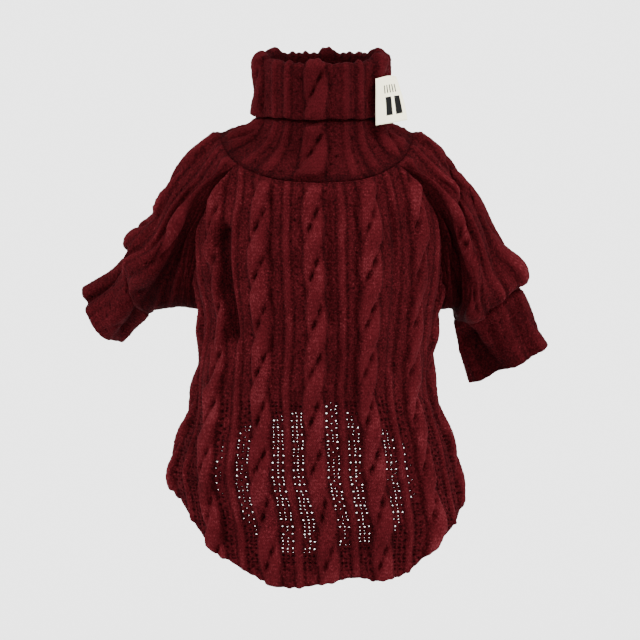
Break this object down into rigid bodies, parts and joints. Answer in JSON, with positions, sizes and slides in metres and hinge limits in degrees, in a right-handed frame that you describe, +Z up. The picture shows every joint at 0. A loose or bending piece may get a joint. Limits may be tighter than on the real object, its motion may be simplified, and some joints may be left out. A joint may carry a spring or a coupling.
{
  "type": "dog sweater",
  "caption": "Small cable-knit turtleneck sweater for a dog, filled out as worn, with short cuffed raglan sleeves, a long rounded back and a shorter arched belly hem.",
  "frame": {"origin": "middle of the neck ring, where the wearer's neck holds the sweater", "axes": "+Z up towards the collar, -Y out of the long back panel, +Y out of the belly panel, +X towards the wearer's right sleeve"},
  "size_m": [0.2845, 0.1275, 0.3182],
  "materials": {
    "body_knit": "matte burgundy cable knit with open mesh stripes",
    "collar_knit": "matte deep burgundy cable knit",
    "label_tape": "off-white woven tape with plain black stripes"
  },
  "bodies": {
    "root": {"back_panel": "body_knit", "belly_panel": "body_knit", "sleeve_left": "body_knit", "sleeve_right": "body_knit", "cuff_left": "body_knit", "cuff_right": "body_knit", "hem_facing": "collar_knit", "collar": "collar_knit", "label": "label_tape"}
  },
  "joints": []
}
